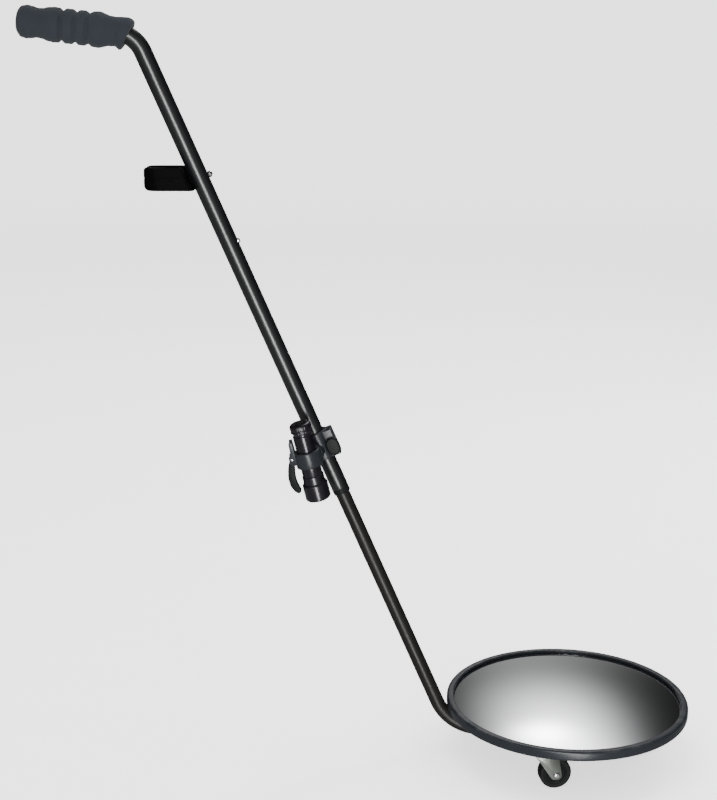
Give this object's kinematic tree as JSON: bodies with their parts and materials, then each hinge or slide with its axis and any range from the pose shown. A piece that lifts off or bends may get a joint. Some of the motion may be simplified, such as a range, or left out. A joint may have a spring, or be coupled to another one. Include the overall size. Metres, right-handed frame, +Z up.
{
  "type": "telescoping inspection mirror",
  "caption": "Wheeled convex search mirror on a bent telescoping pole with a foam grip, a hand loop and a torch in a swivelling clamp.",
  "frame": {"origin": "middle of the foam grip, on its axis, where the hand holds the pole", "axes": "+Z up with the mirror level and its casters down, +X from the handle towards the mirror, +Y across the pole"},
  "size_m": [0.8218, 0.31, 0.9337],
  "materials": {
    "gloss_black": "gloss black paint",
    "satin_black": "satin black coating",
    "foam": "matte closed-cell foam",
    "matte_black": "matte black",
    "black_plastic": "fine grained black",
    "slate_plastic": "satin slate grey",
    "rubber": "matte black",
    "zinc": "zinc plated",
    "steel": "bright plated",
    "mirror": "silvered convex mirror",
    "board": "matte",
    "anodised": "black anodised",
    "lens": "clear",
    "chrome": "bright",
    "cell": "plain wrap"
  },
  "bodies": {
    "handle": {"upper_tube": "gloss_black", "foam_grip": "foam", "hand_loop": "matte_black", "loop_screw": "steel", "loop_nut": "steel", "guide_bush": "black_plastic"},
    "lower_pole": {"lower_tube": "satin_black", "slide_bush": "black_plastic", "button_spring": "steel", "mirror_glass": "mirror", "mirror_rim": "slate_plastic", "back_plate": "board", "pole_bracket": "zinc", "saddle_1": "zinc", "saddle_2": "zinc", "saddle_screw_11": "steel", "saddle_screw_12": "steel", "saddle_screw_21": "steel", "saddle_screw_22": "steel", "bracket_screw_1": "steel", "bracket_screw_2": "steel", "caster_plate_1": "zinc", "kingpin_1": "steel", "plate_screw_11": "steel", "plate_screw_12": "steel", "caster_plate_2": "zinc", "kingpin_2": "steel", "plate_screw_21": "steel", "plate_screw_22": "steel", "caster_plate_3": "zinc", "kingpin_3": "steel", "plate_screw_31": "steel", "plate_screw_32": "steel"},
    "button": {"snap_button": "steel"},
    "clamp": {"tube_clamp": "slate_plastic", "swivel_pin": "steel"},
    "knob": {"clamp_knob": "black_plastic"},
    "ring": {"torch_ring": "slate_plastic", "lever_pin": "steel"},
    "lever": {"ring_lever": "black_plastic"},
    "torch": {"torch_barrel": "anodised", "torch_head": "anodised", "torch_lens": "lens", "torch_reflector": "chrome", "torch_battery": "cell", "torch_tail_cap": "anodised"},
    "torch_button": {"torch_switch": "rubber"},
    "swivel_1": {"caster_fork_1": "zinc", "caster_axle_1": "steel"},
    "wheel_1": {"caster_hub_1": "black_plastic", "caster_tyre_1": "rubber"},
    "swivel_2": {"caster_fork_2": "zinc", "caster_axle_2": "steel"},
    "wheel_2": {"caster_hub_2": "black_plastic", "caster_tyre_2": "rubber"},
    "swivel_3": {"caster_fork_3": "zinc", "caster_axle_3": "steel"},
    "wheel_3": {"caster_hub_3": "black_plastic", "caster_tyre_3": "rubber"}
  },
  "joints": [
    {"name": "telescope", "type": "slide", "parent": "handle", "child": "lower_pole", "axis": [0.3955, 0, -0.9184], "range_m": [0, 0.3]},
    {"name": "button_press", "type": "slide", "parent": "lower_pole", "child": "button", "axis": [-0.9184, 0, -0.3955], "range_m": [0, 0.0028], "stiffness_N_per_m": 900, "springref_m": -0.002, "deforming": ["button_spring"]},
    {"name": "holder_turn", "type": "hinge", "parent": "handle", "child": "clamp", "pos_m": [0.28585, 0, -0.50588], "axis": [-0.3955, 0, 0.9184], "range_deg": [-170, 170]},
    {"name": "knob_turn", "type": "hinge", "parent": "clamp", "child": "knob", "pos_m": [0.30018, 0, -0.49971], "axis": [0, -1, 0], "range_deg": [0, 360]},
    {"name": "torch_tilt", "type": "hinge", "parent": "clamp", "child": "ring", "pos_m": [0.28585, 0, -0.50588], "axis": [-0.3983, -0.9011, -0.1715], "range_deg": [-90, 90]},
    {"name": "lever_flip", "type": "hinge", "parent": "ring", "child": "lever", "pos_m": [0.25023, -0.03439, -0.51075], "axis": [0, 0.9961, 0.088], "range_deg": [0, 110]},
    {"name": "torch_slide", "type": "slide", "parent": "ring", "child": "torch", "axis": [-0.2241, -0.0857, 0.9708], "range_m": [-0.021, 0.009]},
    {"name": "torch_click", "type": "slide", "parent": "torch", "child": "torch_button", "axis": [0.2241, 0.0857, -0.9708], "range_m": [0, 0.0012], "stiffness_N_per_m": 900, "springref_m": -0.001},
    {"name": "swivel_turn_1", "type": "hinge", "parent": "lower_pole", "child": "swivel_1", "pos_m": [0.72333, 0, -0.85299], "axis": [0, 0, 1], "continuous": true},
    {"name": "wheel_turn_1", "type": "hinge", "parent": "swivel_1", "child": "wheel_1", "pos_m": [0.70924, -0.00513, -0.88899], "axis": [0.342, -0.9397, 0], "continuous": true},
    {"name": "swivel_turn_2", "type": "hinge", "parent": "lower_pole", "child": "swivel_2", "pos_m": [0.55761, 0.1139, -0.85299], "axis": [0, 0, 1], "continuous": true},
    {"name": "wheel_turn_2", "type": "hinge", "parent": "swivel_2", "child": "wheel_2", "pos_m": [0.57121, 0.12024, -0.88899], "axis": [-0.4226, 0.9063, 0], "continuous": true},
    {"name": "swivel_turn_3", "type": "hinge", "parent": "lower_pole", "child": "swivel_3", "pos_m": [0.55761, -0.1139, -0.85299], "axis": [0, 0, 1], "continuous": true},
    {"name": "wheel_turn_3", "type": "hinge", "parent": "swivel_3", "child": "wheel_3", "pos_m": [0.57247, -0.11181, -0.88899], "axis": [-0.1392, 0.9903, 0], "continuous": true}
  ]
}
